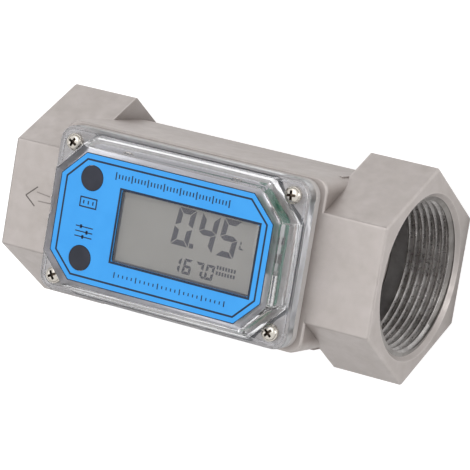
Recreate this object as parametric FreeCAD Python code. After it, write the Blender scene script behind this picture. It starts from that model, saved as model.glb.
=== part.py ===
# In-line turbine flow meter with a battery-powered readout. Millimetres, +Z up.
# The pipe axis runs along X, the readout faces +Z and the text on it reads towards +Y.
# The meter lies on the two lowest flats of its hexagonal pipe ends, at Z = 0.
import math
import os

import FreeCAD
import Part

V = FreeCAD.Vector

# ---- Driving dimensions ----
# pipe ends and middle of the body
hex_flats = 56.5          # wrench size across flats
body_length = 127.0       # face to face
hex_length = 22.65        # of each hexagonal end, along the pipe
hex_edge_r = 0.9          # cast edges of the hexagons
block_margin = (1.9, 0.9)  # front face of the middle past the flange of the readout
block_depth = 24.5        # depth of that rectangular front
block_corner_r = 4.0      # its corners, seen from the front
block_edge_r = 0.7        # its front edge
shoulder_drop = 2.0       # flat sides run this far behind the axis
side_arc_r = 30.0         # then the back rounds over
back_arc_r = 14.0
back_gap = 1.75           # the rounded back stays this far above the resting flats

# flow passage
thread_wall_r = 24.0      # plain wall that carries the pipe thread
thread_depth = 22.0       # from either end to the end of the threaded wall
mouth_chamfer = 1.2
bore_r = 19.5
bore_taper = 3.5          # length of the cone from the threaded wall down to the bore
throat_r = 19.2           # round the rotor; its ends are the shoulders for the supports

# readout, measured from the middle of the readout, and made round what is inside it
readout_x = -1.75         # middle of the readout along the pipe
flange_rim = 7.3          # flange past the groove for its seal, along Y
flange_r = 5.0
tray_t = 2.6
rim_seal_t = 0.6          # it lies in a groove of the tray, under the wall of the cover
rim_seal_w = 1.6
rim_seal_inset = 0.1      # from the foot of that wall
flange_top = 5.9          # heights here are above the front face of the body
box_top = 13.0
box_foot_inset = (1.55, 1.1)  # foot of the cover's box, from the edge of the flange
box_base_cut = (11.0, 11.7)
box_draft = (2.7, 2.8)    # the box narrows by this much on each side
box_top_cut = (7.9, 8.4)
box_edge_r = 0.9
cover_wall = 2.0
notch_r = 1.8             # pry notch down the outlet end of the box
notch_depth = 1.0
cover_front_t = 1.6
label_inset = (2.5, 2.0)  # label, from the edge of the cover's front
label_cut = (7.5, 7.5)
label_t = 0.4
label_gap = 0.05          # all round, between label and recess
window_margin = (0.3, 0.8, 0.4)  # window of the label past the display: left, right, up and down
window_r = 0.6

# fixings
screw_inset = (5.45, 4.8)  # screws, from the edge of the flange
screw_r = 1.45
screw_hole_r = 1.5
screw_clear_r = 1.7
screw_head_r = 2.65
screw_head_t = 2.1
screw_rim_share = 0.35    # upright rim of the head, as a share of its height
screw_depth = 7.0
tap_run = 1.0             # the tapped hole is this much deeper than the screw

# seal between tray and body
groove_w = 2.0
groove_depth = 1.2
groove_r = 4.0
groove_land = 1.1         # metal between the groove and the pocket for the cells
pocket_room = (3.25, 1.65)  # pocket past the cells and the legs of their clips
pocket_depth = 3.2
pocket_r = 3.0
tray_opening_lip = (1.0, 1.2)  # the tray's opening is this much smaller than the pocket

# pick-up coil, above the rotor
well_r = 6.2
well_depth = 7.2
bobbin_r = 5.7
bobbin_flange_t = 0.6
bobbin_core_r = 2.6
bobbin_drop = 1.0         # top of the bobbin under the front face of the body
coil_r = 5.2
core_pin_r = 0.9
core_drop = 1.0           # end of the core under the circuit board

# circuit board and what stands on it
board_gap = (3.2, 2.7)    # board to the inside of the cover's foot
board_cut = (7.5, 7.5)
board_z = 5.0
board_t = 1.6
post_inset = (17.5, 2.3)  # posts, from the edges of the board
post_r = 1.7
board_screw_r = 0.85
board_screw_head_r = 1.55
board_screw_head_t = 0.9
board_screw_edge_r = 0.3
board_screw_end = 1.0     # height of the tip
board_hole_end = 0.6      # height of the bottom of its hole
view_size = (45.5, 20.4)  # visible part of the display
display_inset = 2.5       # frame of the display, from the end of the board
lcd_margin = (3.2, 1.7, 2.0)  # glass past the visible part: left, right, up and down
lcd_t = 2.0
lcd_lift = 2.0            # gap that the contact strips fill
lcd_ledge = 1.4           # the lower pane sticks out this far along one edge
mask_t = 0.3
frame_wall = 0.9
frame_cut = 1.0
strip_w = 1.8
strip_inset = 1.3         # middle of a strip, from the edge of the glass
strip_end = 1.0
chip_size = 9.0
chip_t = 1.2
chip_lift = 0.1
chip_edge = 0.25
lead_count = 11
lead_pitch = 0.65
lead_w = 0.3
lead_t = 0.3
lead_reach = 0.9
crystal_r = 1.1
crystal_length = 9.0
crystal_edge_r = 0.35
crystal_inset = 1.2       # its middle, from the end of the board
crystal_y = -12.2         # its blind end
wire_w = 0.24
wire_apart = 0.8
wire_reach = 1.0
part_sizes = {"tall": (1.6, 2.6, 1.1), "chip": (1.2, 2.0, 0.7), "flat": (2.0, 1.2, 0.6)}
row_count = 4             # chips in a row between the keys
row_pitch = 2.4
cell_r = 12.25
cell_t = 5.0
cell_cap_t = 0.7
cell_cap_inset = 1.6
cell_edge_r = 0.5
cell_gap = 2.05           # cell to the bobbin between the two
clip_t = 0.4
clip_w = 5.0
clip_gap = 0.3            # cell to the upright legs of its clip
clip_foot_share = 0.6     # length of the upper contact, as a share of the cell

# keys
key_gap = 7.7             # middle of the keys, from the glass of the display
key_end = 10.5            # from the end of the board
key_inset = 7.1           # and from the edge of the label
key_r = 3.75
key_hole_r = 3.85
key_proud = 0.15
key_edge_r = 0.12
key_travel = 0.6
key_collar_r = 4.6
key_collar_t = 0.8
key_collar_gap = 0.05
switch_size = 6.0
switch_t = 2.0
switch_cut = 0.4
plunger_r = 1.7
plunger_t = 0.5

# turbine
rotor_tip_r = 18.7
rotor_hub_r = 7.0
rotor_length = 16.0
blade_count = 8
blade_t = 1.3
blade_end_gap = 1.0       # blade to either end of the hub
blade_twist = 62.0        # degrees over the length of the rotor
blade_steps = 6
shaft_r = 1.5
shaft_fit = 0.04          # radial, shaft in bearing
shaft_end_gap = 0.4
bearing_r = 3.2
bearing_t = 5.0
bearing_relief = (0.5, 1.5)  # room round and beyond the end of the shaft
hub_gap = 0.8             # rotor to either support, along X
support_hub_r = 7.2
support_ring_r = 19.45
support_ring_t = 1.4
support_length = 14.0
support_ring_inset = 2.0  # the ring starts this far behind the hub's inner face
support_nose = 9.0
vane_count = 4            # the first one leans halfway between sideways and up
vane_t = 1.6
snap_r = 20.6             # bottom of the groove
snap_gap = 0.2            # ring to the bottom of the groove
snap_in_r = 17.6
snap_t = 1.2
snap_side_gap = 0.06      # ring to either side of the groove
snap_opening = 34.0       # degrees
magnet_r = 1.5
magnet_t = 2.4
magnet_at = 4.9
magnet_count = 4

# ---- Values that follow ----
hex_side = hex_flats / math.sqrt(3)
axis_z = hex_flats / 2
face_z = hex_flats
half_length = body_length / 2
hex_inner_x = half_length - hex_length
thread_wall_x = half_length - thread_depth
bore_x = thread_wall_x - bore_taper
X_AXIS = V(1, 0, 0)
Y_AXIS = V(0, 1, 0)
Z_AXIS = V(0, 0, 1)
past = 1.0                # cutting shapes run this far past the face they open
level = 1e-6              # heights closer than this are the same


def more(size, *steps):
    """Half width and half height after each step is added on every side."""
    return tuple(size[i] + sum(step[i] for step in steps) for i in (0, 1))


def less(size, *steps):
    """The same, with each step taken off."""
    return tuple(size[i] - sum(step[i] for step in steps) for i in (0, 1))


# across: the cells set the pocket, then come groove, screws and flange
cell_x = bobbin_r + cell_gap + cell_r
pocket_half = more((cell_x + cell_r, cell_r + clip_gap + clip_t), pocket_room)
groove_half = more(pocket_half, (groove_w + groove_land, groove_w + groove_land))
# along: keys and display in a row set the board, then come cover and flange
lcd_width = lcd_margin[0] + view_size[0] + lcd_margin[1]
board_half_x = (key_end + key_gap + lcd_width + frame_wall + display_inset) / 2
base_half_x = board_half_x + board_gap[0] + cover_wall
flange_half = (base_half_x + box_foot_inset[0], groove_half[1] + flange_rim)
screw_at = less(flange_half, screw_inset)
block_half_w = flange_half[1] + block_margin[1]
block_reach = flange_half[0] + block_margin[0]
block_x = (readout_x - block_reach, readout_x + block_reach)
box_base_half = less(flange_half, box_foot_inset)
box_top_half = less(box_base_half, box_draft)
label_half = less(box_top_half, label_inset)
board_half = less(box_base_half, (cover_wall, cover_wall), board_gap)
post_at = less(board_half, post_inset)

# keys, display and window, from the middle of the readout
key_x = key_end - board_half[0]
key_y = label_half[1] - key_inset
lcd_x = (key_x + key_gap, key_x + key_gap + lcd_width)
view_x = (lcd_x[0] + lcd_margin[0], lcd_x[1] - lcd_margin[1])
view_half_y = view_size[1] / 2
lcd_half_y = view_half_y + lcd_margin[2]
window_x = (view_x[0] - window_margin[0], view_x[1] + window_margin[1])
window_half_y = view_half_y + window_margin[2]
cover_ceiling = box_top - label_t - cover_front_t
board_top = board_z + board_t
lcd_z = board_top + lcd_lift
lcd_top = lcd_z + lcd_t
rotor_half = rotor_length / 2
support_in = rotor_half + hub_gap
support_out = support_in + support_length


# ---- Helpers ----
def above(height):
    """Z of a height above the front face of the body."""
    return face_z + height


def tube_x(radius, x0, x1, y=0.0, z=None):
    """Cylinder along X."""
    base = V(x0, y, axis_z if z is None else z)
    return Part.makeCylinder(radius, x1 - x0, base, X_AXIS)


def tube_z(radius, z0, z1, x=0.0, y=0.0):
    """Cylinder along Z."""
    return Part.makeCylinder(radius, z1 - z0, V(x, y, z0), Z_AXIS)


def box(x0, x1, y0, y1, z0, z1):
    return Part.makeBox(x1 - x0, y1 - y0, z1 - z0, V(x0, y0, z0))


def polygon(points):
    return Part.makePolygon([V(*p) for p in points] + [V(*points[0])])


def cut_corner_wire(half, cut, z, x_mid=readout_x):
    """Rectangle with four cut corners, at one height."""
    hx, hy = half
    cx, cy = cut
    corners = [(hx - cx, hy), (hx, hy - cy), (hx, cy - hy), (hx - cx, -hy)]
    points = corners + [(-x, y) for x, y in reversed(corners)]
    return polygon([(x_mid + x, y, z) for x, y in points])


def cut_corner_plate(half, cut, z0, z1):
    face = Part.Face(cut_corner_wire(half, cut, z0))
    return face.extrude(V(0, 0, z1 - z0))


def even_inset(half, cut, by):
    """Cut-cornered outline moved in by the same distance on all eight sides."""
    ease = by * (2 - math.sqrt(2))
    return less(half, (by, by)), less(cut, (ease, ease))


def upright_edges(shape):
    """Straight edges that run along Z."""
    found = []
    for edge in shape.Edges:
        ends = [v.Point for v in edge.Vertexes]
        if len(ends) == 2 and math.hypot(ends[0].x - ends[1].x, ends[0].y - ends[1].y) < level:
            found.append(edge)
    return found


def rounded_plate(x0, x1, half_y, z0, z1, radius):
    plate = box(x0, x1, -half_y, half_y, z0, z1)
    return plate.makeFillet(radius, upright_edges(plate))


def edges_at(shape, z):
    """Edges that lie in one level plane."""
    return [e for e in shape.Edges if all(abs(v.Point.z - z) < level for v in e.Vertexes)
            and e.BoundBox.ZLength < level]


def turned(points):
    """Solid of revolution about the pipe axis, from (x, radius) points."""
    ring = [V(x, 0, axis_z + r) for x, r in points]
    face = Part.Face(Part.makePolygon(ring + [ring[0]]))
    return face.revolve(V(0, 0, axis_z), X_AXIS, 360)


def fuse_all(shapes):
    first, *rest = shapes
    return first.multiFuse(rest).removeSplitter() if rest else first


def mirrored(shape):
    """The same piece at the other end of the pipe."""
    return shape.mirror(V(0, 0, axis_z), X_AXIS)


def corners_of(at):
    """Four symmetric places about the middle of the readout."""
    return [(readout_x + sx * at[0], sy * at[1]) for sx in (-1, 1) for sy in (-1, 1)]


# ---- Body ----
def hexagon_end(x0, x1):
    """Wrench end with corners to +-Y, its long edges and outer rim softened."""
    corners = []
    for k in range(6):
        turn = math.radians(60 * k)
        corners.append((x0, hex_side * math.cos(turn), axis_z + hex_side * math.sin(turn)))
    prism = Part.Face(polygon(corners)).extrude(V(x1 - x0, 0, 0))
    soft = []
    for edge in prism.Edges:
        xs = [v.Point.x for v in edge.Vertexes]
        if abs(xs[0] - xs[1]) > level or abs(xs[0] - x1) < level:
            soft.append(edge)
    return prism.makeFillet(hex_edge_r, soft)


def middle_back():
    """Rounded back of the middle: flat sides, a wide arc, a tighter arc and a flat."""
    start_z = axis_z - shoulder_drop
    arc_y = block_half_w - side_arc_r
    flat_z = back_gap
    rise = start_z - flat_z - back_arc_r
    lean = math.asin(rise / (side_arc_r - back_arc_r))
    half_lean = lean / 2
    inner_y = arc_y + (side_arc_r - back_arc_r) * math.cos(lean)
    inner_z = start_z - rise

    def on_side(turn):
        return (arc_y + side_arc_r * math.cos(turn), start_z - side_arc_r * math.sin(turn))

    def on_back(turn):
        return (inner_y + back_arc_r * math.cos(turn), inner_z - back_arc_r * math.sin(turn))

    x = -hex_inner_x
    top_z = face_z - block_depth / 2
    mid_turn = (lean + math.pi / 2) / 2
    path = []
    for side in (1, -1):
        def at(point, s=side):
            return V(x, s * point[0], point[1])
        top = V(x, side * block_half_w, top_z)
        shoulder = at(on_side(0))
        join = at(on_side(lean))
        bottom = at(on_back(math.pi / 2))
        path += [
            Part.LineSegment(top, shoulder).toShape(),
            Part.Arc(shoulder, at(on_side(half_lean)), join).toShape(),
            Part.Arc(join, at(on_back(mid_turn)), bottom).toShape(),
        ]
    path.append(Part.LineSegment(V(x, inner_y, flat_z), V(x, -inner_y, flat_z)).toShape())
    path.append(Part.LineSegment(V(x, block_half_w, top_z), V(x, -block_half_w, top_z)).toShape())
    wire = Part.Wire(Part.__sortEdges__(path))
    return Part.Face(wire).extrude(V(2 * hex_inner_x, 0, 0))


def front_block():
    block = rounded_plate(*block_x, block_half_w, face_z - block_depth, face_z, block_corner_r)
    return block.makeFillet(block_edge_r, edges_at(block, face_z))


def passage():
    """Everything the liquid fills, with the threaded walls and the snap-ring grooves."""
    half = [
        (support_in + support_ring_inset, throat_r),
        (support_in + support_ring_inset, bore_r),
        (bore_x, bore_r),
        (thread_wall_x, thread_wall_r),
        (half_length - mouth_chamfer, thread_wall_r),
        (half_length, thread_wall_r + mouth_chamfer),
        (half_length + past, thread_wall_r + mouth_chamfer),
    ]
    end = half[-1][0]
    outline = [(-end, 0)] + [(-x, r) for x, r in reversed(half)] + half + [(end, 0)]
    groove = tube_x(snap_r, support_out - snap_side_gap, support_out + snap_t + snap_side_gap)
    grooves = [groove, mirrored(groove)]
    return fuse_all([turned(outline)] + grooves)


def frame_ring(half, width, radius, z0, z1):
    """Rectangular ring with rounded corners, about the middle of the readout."""
    hx, hy = half
    outer = rounded_plate(readout_x - hx, readout_x + hx, hy, z0, z1, radius)
    inner = rounded_plate(readout_x - hx + width, readout_x + hx - width, hy - width, z0, z1, radius - width)
    return outer.cut(inner)


def meter_body():
    middle = front_block().fuse(middle_back())
    right = hexagon_end(hex_inner_x, half_length)
    solid = fuse_all([middle, right, mirrored(right)])
    hx, hy = pocket_half
    hollow = [
        passage(),
        rounded_plate(readout_x - hx, readout_x + hx, hy, above(-pocket_depth), above(past), pocket_r),
        tube_z(well_r, above(-well_depth), above(0)),
        frame_ring(groove_half, groove_w, groove_r, above(-groove_depth), above(past)),
    ]
    for x, y in corners_of(screw_at):
        hollow.append(tube_z(screw_hole_r, above(-screw_depth - tap_run), above(past), x, y))
    return solid.cut(hollow)


# ---- Flow parts ----
def support():
    """Straightening vanes between a hub with a rounded nose and an outer ring."""
    x0, x1 = support_in, support_out
    ring_x = x0 + support_ring_inset
    ring = tube_x(support_ring_r, ring_x, x1).cut(tube_x(support_ring_r - support_ring_t, x0, x1 + past))
    # the nose is an arc that leaves the hub without a corner and ends on the axis
    nose_arc_r = (support_nose ** 2 + support_hub_r ** 2) / (2 * support_hub_r)
    lean = math.asin(support_nose / nose_arc_r) / 2
    rim = V(x1, 0, axis_z + support_hub_r)
    on_arc = rim + V(math.sin(lean), 0, math.cos(lean) - 1) * nose_arc_r
    tip = V(x1 + support_nose, 0, axis_z)
    side = Part.Arc(rim, on_arc, tip).toShape()
    straight = Part.makePolygon([tip, V(x0, 0, axis_z), V(x0, 0, axis_z + support_hub_r), rim])
    hub = Part.Face(Part.Wire([side] + straight.Edges)).revolve(V(0, 0, axis_z), X_AXIS, 360)
    shapes = [ring, hub]
    for k in range(vane_count):
        tip_r = support_ring_r - support_ring_t / 3
        vane = box(ring_x, x1, -vane_t / 2, vane_t / 2, axis_z, axis_z + tip_r)
        vane.rotate(V(0, 0, axis_z), X_AXIS, 360.0 * (k + 0.5) / vane_count)
        shapes.append(vane)
    whole = fuse_all(shapes)
    round_it, beyond = bearing_relief
    seat = tube_x(bearing_r, x0 - past, x0 + bearing_t)
    relief = tube_x(shaft_r + round_it, x0, x0 + bearing_t + beyond)
    return whole.cut([seat, relief])


def bearing():
    sleeve = tube_x(bearing_r, support_in, support_in + bearing_t)
    return sleeve.cut(tube_x(shaft_r + shaft_fit, support_in - past, support_in + bearing_t + past))


def snap_ring():
    """Open spring ring that holds a support in its groove."""
    x0 = support_out
    x1 = x0 + snap_t
    ring = tube_x(snap_r - snap_gap, x0, x1).cut(tube_x(snap_in_r, x0 - past, x1 + past))
    half_open = math.radians(snap_opening / 2)
    across = 2 * snap_r * math.sin(half_open)
    down = 2 * snap_r * math.cos(half_open)
    start = x0 - past
    wedge = polygon([(start, 0, axis_z), (start, across, axis_z - down), (start, -across, axis_z - down)])
    return ring.cut(Part.Face(wedge).extrude(V(snap_t + 2 * past, 0, 0)))


def blade():
    """One helical blade: a rectangle carried along the axis while it turns."""
    sections = []
    for k in range(blade_steps + 1):
        share = k / blade_steps
        x = -rotor_half + blade_end_gap + share * (rotor_length - 2 * blade_end_gap)
        turn = math.radians(blade_twist * (share - 0.5))
        outward = V(0, -math.sin(turn), math.cos(turn))
        across = V(0, math.cos(turn), math.sin(turn)) * (blade_t / 2)
        root = outward * (rotor_hub_r - blade_t)
        tip = outward * (rotor_tip_r + past)
        centre = V(x, 0, axis_z)
        ring = [centre + root - across, centre + tip - across, centre + tip + across, centre + root + across]
        sections.append(Part.makePolygon(ring + [ring[0]]))
    return Part.makeLoft(sections, True, False)


def magnets():
    """Small discs, set into one end of the hub."""
    discs = []
    for k in range(magnet_count):
        turn = math.radians(360 * (k + 0.5) / magnet_count)
        y = magnet_at * math.cos(turn)
        z = axis_z + magnet_at * math.sin(turn)
        discs.append(tube_x(magnet_r, -rotor_half, -rotor_half + magnet_t, y, z))
    return discs


def turbine_rotor():
    """Hub with helical blades, trimmed to the tip circle."""
    one = blade().common(tube_x(rotor_tip_r, -rotor_half, rotor_half))
    shapes = [tube_x(rotor_hub_r, -rotor_half, rotor_half)]
    for k in range(blade_count):
        copy = one.copy()
        copy.rotate(V(0, 0, axis_z), X_AXIS, 360.0 * k / blade_count)
        shapes.append(copy)
    hub = fuse_all(shapes)
    return hub.cut([tube_x(shaft_r, -rotor_half - past, rotor_half + past)] + magnets())


def rotor_shaft():
    reach = support_in + bearing_t - shaft_end_gap
    return tube_x(shaft_r, -reach, reach)


def rotor_magnets():
    return Part.makeCompound(magnets())


# ---- Readout housing ----
def tray():
    """Pale back plate of the readout, with posts for the circuit board."""
    fx, fy = flange_half
    plate = rounded_plate(readout_x - fx, readout_x + fx, fy, face_z, above(tray_t), flange_r)
    px, py = less(pocket_half, tray_opening_lip)
    opening = rounded_plate(readout_x - px, readout_x + px, py, face_z - past, above(tray_t + past), pocket_r)
    plate = plate.cut(opening)
    posts = [tube_z(post_r, above(tray_t), above(board_z), x, y) for x, y in corners_of(post_at)]
    whole = fuse_all([plate] + posts).cut(rim_seal())
    holes = [tube_z(screw_clear_r, face_z - past, above(tray_t + past), x, y)
             for x, y in corners_of(screw_at)]
    holes += [tube_z(board_screw_r, above(board_hole_end), above(board_z + past), x, y)
              for x, y in corners_of(post_at)]
    return whole.cut(holes)


def rim_seal():
    """Cut-cornered ring under the wall of the cover, set in the tray."""
    z0 = above(tray_t - rim_seal_t)
    z1 = above(tray_t)
    outer = even_inset(box_base_half, box_base_cut, rim_seal_inset)
    inner = even_inset(box_base_half, box_base_cut, rim_seal_inset + rim_seal_w)
    return cut_corner_plate(*outer, z0, z1).cut(cut_corner_plate(*inner, z0 - past, z1 + past))


def body_seal():
    """Rectangular cord seal in the groove of the body."""
    return frame_ring(groove_half, groove_w, groove_r, above(-groove_depth), face_z)


def drafted(base_half, base_cut, top_half, top_cut, z0, z1):
    wires = [cut_corner_wire(base_half, base_cut, z0), cut_corner_wire(top_half, top_cut, z1)]
    return Part.makeLoft(wires, True, True)


def pry_notch():
    """Half-round notch that follows the slope of the outlet end of the box."""
    rise = box_top - flange_top
    slope = V(box_draft[0], 0, rise) * (1 + past / rise)
    centre = V(readout_x - box_base_half[0] - notch_r + notch_depth, 0, above(flange_top))
    ring = Part.Wire(Part.makeCircle(notch_r, centre, Z_AXIS))
    return Part.Face(ring).extrude(slope)


def clear_cover():
    """Moulded cover: mounting flange with a drafted, cut-cornered box standing on it."""
    fx, fy = flange_half
    flange = rounded_plate(readout_x - fx, readout_x + fx, fy, above(tray_t), above(flange_top), flange_r)
    flange = flange.makeFillet(box_edge_r / 2, edges_at(flange, above(flange_top)))
    shell = drafted(box_base_half, box_base_cut, box_top_half, box_top_cut, above(flange_top), above(box_top))
    shell = shell.makeFillet(box_edge_r, edges_at(shell, above(box_top)))
    whole = fuse_all([flange, shell])
    low_half, low_cut = even_inset(box_base_half, box_base_cut, cover_wall)
    high_half, high_cut = even_inset(box_top_half, box_top_cut, cover_wall)
    room = drafted(low_half, low_cut, high_half, high_cut, above(flange_top), above(cover_ceiling))
    well = cut_corner_plate(low_half, low_cut, above(tray_t - past), above(flange_top))
    recess = cut_corner_plate(label_half, label_cut, above(box_top - label_t), above(box_top + past))
    cuts = [fuse_all([room, well]), recess, pry_notch()]
    for x, y in corners_of(screw_at):
        cuts.append(tube_z(screw_clear_r, above(0), above(box_top), x, y))
    for side in (1, -1):
        cuts.append(tube_z(key_hole_r, above(cover_ceiling - past), above(box_top),
                           readout_x + key_x, side * key_y))
    return whole.cut(cuts)


def cover_screws():
    """Four pan-head screws; each head is a low dome on a short rim."""
    screws = []
    for x, y in corners_of(screw_at):
        z0 = above(flange_top)
        rim = screw_head_t * screw_rim_share
        dome_rise = screw_head_t - rim
        ball_r = (screw_head_r ** 2 + dome_rise ** 2) / (2 * dome_rise)
        dome = Part.makeSphere(ball_r, V(x, y, z0 + screw_head_t - ball_r))
        head = tube_z(screw_head_r, z0, z0 + screw_head_t, x, y).common(dome)
        shank = tube_z(screw_r, above(-screw_depth), z0, x, y)
        screws.append(head.fuse(shank))
    return Part.makeCompound(screws)


def faceplate_label():
    half = less(label_half, (label_gap, label_gap))
    plate = cut_corner_plate(half, label_cut, above(box_top - label_t), above(box_top))
    x0, x1 = window_x
    low = above(box_top - past)
    high = above(box_top + past)
    window = rounded_plate(readout_x + x0, readout_x + x1, window_half_y, low, high, window_r)
    holes = [tube_z(key_hole_r, low, high, readout_x + key_x, side * key_y) for side in (1, -1)]
    return plate.cut([window] + holes)


# ---- Electronics ----
def circuit_board():
    board = cut_corner_plate(board_half, board_cut, above(board_z), above(board_top))
    return board.cut([tube_z(board_screw_r, above(board_z - past), above(board_top + past), x, y)
                      for x, y in corners_of(post_at)])


def board_screws():
    screws = []
    for x, y in corners_of(post_at):
        top = above(board_top + board_screw_head_t)
        head = tube_z(board_screw_head_r, above(board_top), top, x, y)
        head = head.makeFillet(board_screw_edge_r, edges_at(head, top))
        shank = tube_z(board_screw_r, above(board_screw_end), above(board_top), x, y)
        screws.append(head.fuse(shank))
    return Part.makeCompound(screws)


def lcd_span(grow):
    return (readout_x + lcd_x[0] - grow, readout_x + lcd_x[1] + grow)


def lcd_panel():
    x0, x1 = lcd_span(0)
    glass = box(x0, x1, -lcd_half_y, lcd_half_y, above(lcd_z), above(lcd_top))
    ledge_y = lcd_ledge - lcd_half_y
    return glass.cut(box(x0, x1, -lcd_half_y, ledge_y, above(lcd_z + lcd_t / 2), above(lcd_top)))


def lcd_mask():
    """Black border sheet on the glass."""
    x0, x1 = lcd_span(0)
    sheet = box(x0, x1, -lcd_half_y, lcd_half_y, above(lcd_top), above(lcd_top + mask_t))
    return sheet.cut(box(readout_x + view_x[0], readout_x + view_x[1], -view_half_y, view_half_y,
                         above(lcd_top - past), above(lcd_top + past)))


def lcd_frame():
    """Pale frame that stands on the board and holds the glass."""
    x0, x1 = lcd_span(frame_wall)
    half_y = lcd_half_y + frame_wall
    outer = box(x0, x1, -half_y, half_y, above(board_top), above(lcd_top))
    outer = outer.makeChamfer(frame_cut, upright_edges(outer))
    a, b = lcd_span(0)
    inner = box(a, b, -lcd_half_y, lcd_half_y, above(board_top - past), above(lcd_top + past))
    return outer.cut(inner)


def contact_strips():
    a, b = lcd_span(-strip_end)
    strips = []
    for side in (1, -1):
        y = side * (lcd_half_y - strip_inset)
        strips.append(box(a, b, y - strip_w / 2, y + strip_w / 2, above(board_top), above(lcd_z)))
    return Part.makeCompound(strips)


def microcontroller():
    """Square package with a row of flat leads on each side."""
    half = chip_size / 2
    x = readout_x + sum(lcd_x) / 2
    z0 = above(board_top)
    top = above(board_top + chip_t)
    package = box(x - half, x + half, -half, half, z0 + chip_lift, top)
    package = package.makeChamfer(chip_edge, edges_at(package, top))
    leads = []
    for k in range(lead_count):
        a = (k - (lead_count - 1) / 2) * lead_pitch - lead_w / 2
        b = a + lead_w
        for side in (1, -1):
            c, d = sorted((side * (half - lead_t), side * (half + lead_reach)))
            leads.append(box(x + c, x + d, a, b, z0, z0 + lead_t))
            leads.append(box(x + a, x + b, c, d, z0, z0 + lead_t))
    return package.multiFuse(leads)


def crystal():
    """Tuning-fork can that lies along the end of the board, with its two leads."""
    y0 = crystal_y
    y1 = y0 + crystal_length
    x = readout_x + board_half[0] - crystal_inset
    z = above(board_top + crystal_r)
    can = Part.makeCylinder(crystal_r, y1 - y0, V(x, y0, z), Y_AXIS)
    can = can.makeFillet(crystal_edge_r, [e for e in can.Edges if e.BoundBox.YLength < level])
    leads = []
    half = wire_w / 2
    end = y1 + wire_reach
    for side in (1, -1):
        at = x + side * wire_apart / 2
        leads.append(box(at - half, at + half, y1 - wire_w, end, z - half, z + half))
        leads.append(box(at - half, at + half, end - wire_w, end, above(board_top), z + half))
    return can.multiFuse(leads)


def board_parts():
    """Small chip components: two at the end of the board, a row and a pair between the keys."""
    end_x = board_half[0] - crystal_inset
    crystal_end = crystal_y + crystal_length
    places = [("tall", end_x, crystal_end + 2 * wire_reach + part_sizes["tall"][1])]
    places.append(("chip", end_x, places[0][2] + 2 * part_sizes["tall"][1]))
    places += [("chip", key_x + key_r - row_pitch * k, 0) for k in range(row_count)]
    places += [("flat", key_x - key_r - part_sizes["flat"][0], side * key_r) for side in (1, -1)]
    parts = []
    for kind, x, y in places:
        wide, tall, thick = part_sizes[kind]
        cx = readout_x + x
        parts.append(box(cx - wide / 2, cx + wide / 2, y - tall / 2, y + tall / 2,
                         above(board_top), above(board_top + thick)))
    return Part.makeCompound(parts)


def key_switch(side):
    x = readout_x + key_x
    y = side * key_y
    half = switch_size / 2
    top = above(board_top + switch_t)
    case = box(x - half, x + half, y - half, y + half, above(board_top), top)
    case = case.makeChamfer(switch_cut, upright_edges(case))
    return case.fuse(tube_z(plunger_r, top, top + plunger_t, x, y))


def key(side):
    """Key cap with a collar under the cover, so that it can't fall out."""
    x = readout_x + key_x
    y = side * key_y
    top = above(box_top + key_proud)
    collar_top = above(cover_ceiling - key_collar_gap)
    cap = tube_z(key_r, collar_top - key_collar_t, top, x, y)
    cap = cap.makeFillet(key_edge_r, edges_at(cap, top))
    collar = tube_z(key_collar_r, collar_top - key_collar_t, collar_top, x, y)
    return cap.fuse(collar).removeSplitter()


def coin_cells():
    """Two cells hanging under the board, each with a smaller cap on its lower side."""
    top = above(board_z - clip_t)
    rim = top - cell_t + cell_cap_t
    cells = []
    for x in (-cell_x, cell_x):
        can = tube_z(cell_r, rim, top, x)
        can = can.makeFillet(cell_edge_r, edges_at(can, top))
        cells.append(can.fuse(tube_z(cell_r - cell_cap_inset, top - cell_t, rim, x)))
    return Part.makeCompound(cells)


def cell_clips():
    """Bent strip round each cell, standing on the underside of the board."""
    under = above(board_z)
    low = under - clip_t - cell_t
    side_y = cell_r + clip_gap
    foot_y = cell_r * clip_foot_share
    clips = []
    for x in (-cell_x, cell_x):
        x0 = x - clip_w / 2
        x1 = x + clip_w / 2
        strip = [box(x0, x1, -side_y, side_y, low - clip_t, low)]
        for side in (1, -1):
            a, b = sorted((side * side_y, side * (side_y + clip_t)))
            strip.append(box(x0, x1, a, b, low - clip_t, under))
        clips.append(fuse_all(strip))
        clips.append(box(x0, x1, -foot_y, foot_y, under - clip_t, under))
    return Part.makeCompound(clips)


def coil_bobbin():
    z0 = above(-well_depth)
    top = above(-bobbin_drop)
    core = tube_z(bobbin_core_r, z0, above(board_z))
    low = tube_z(bobbin_r, z0, z0 + bobbin_flange_t)
    high = tube_z(bobbin_r, top - bobbin_flange_t, top)
    return fuse_all([core, low, high]).cut(tube_z(core_pin_r, z0 - past, above(board_z - core_drop)))


def pickup_coil():
    z0 = above(bobbin_flange_t - well_depth)
    z1 = above(-bobbin_drop - bobbin_flange_t)
    return tube_z(coil_r, z0, z1).cut(tube_z(bobbin_core_r, z0, z1))


def coil_core():
    return tube_z(core_pin_r, above(-well_depth), above(board_z - core_drop))


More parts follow.
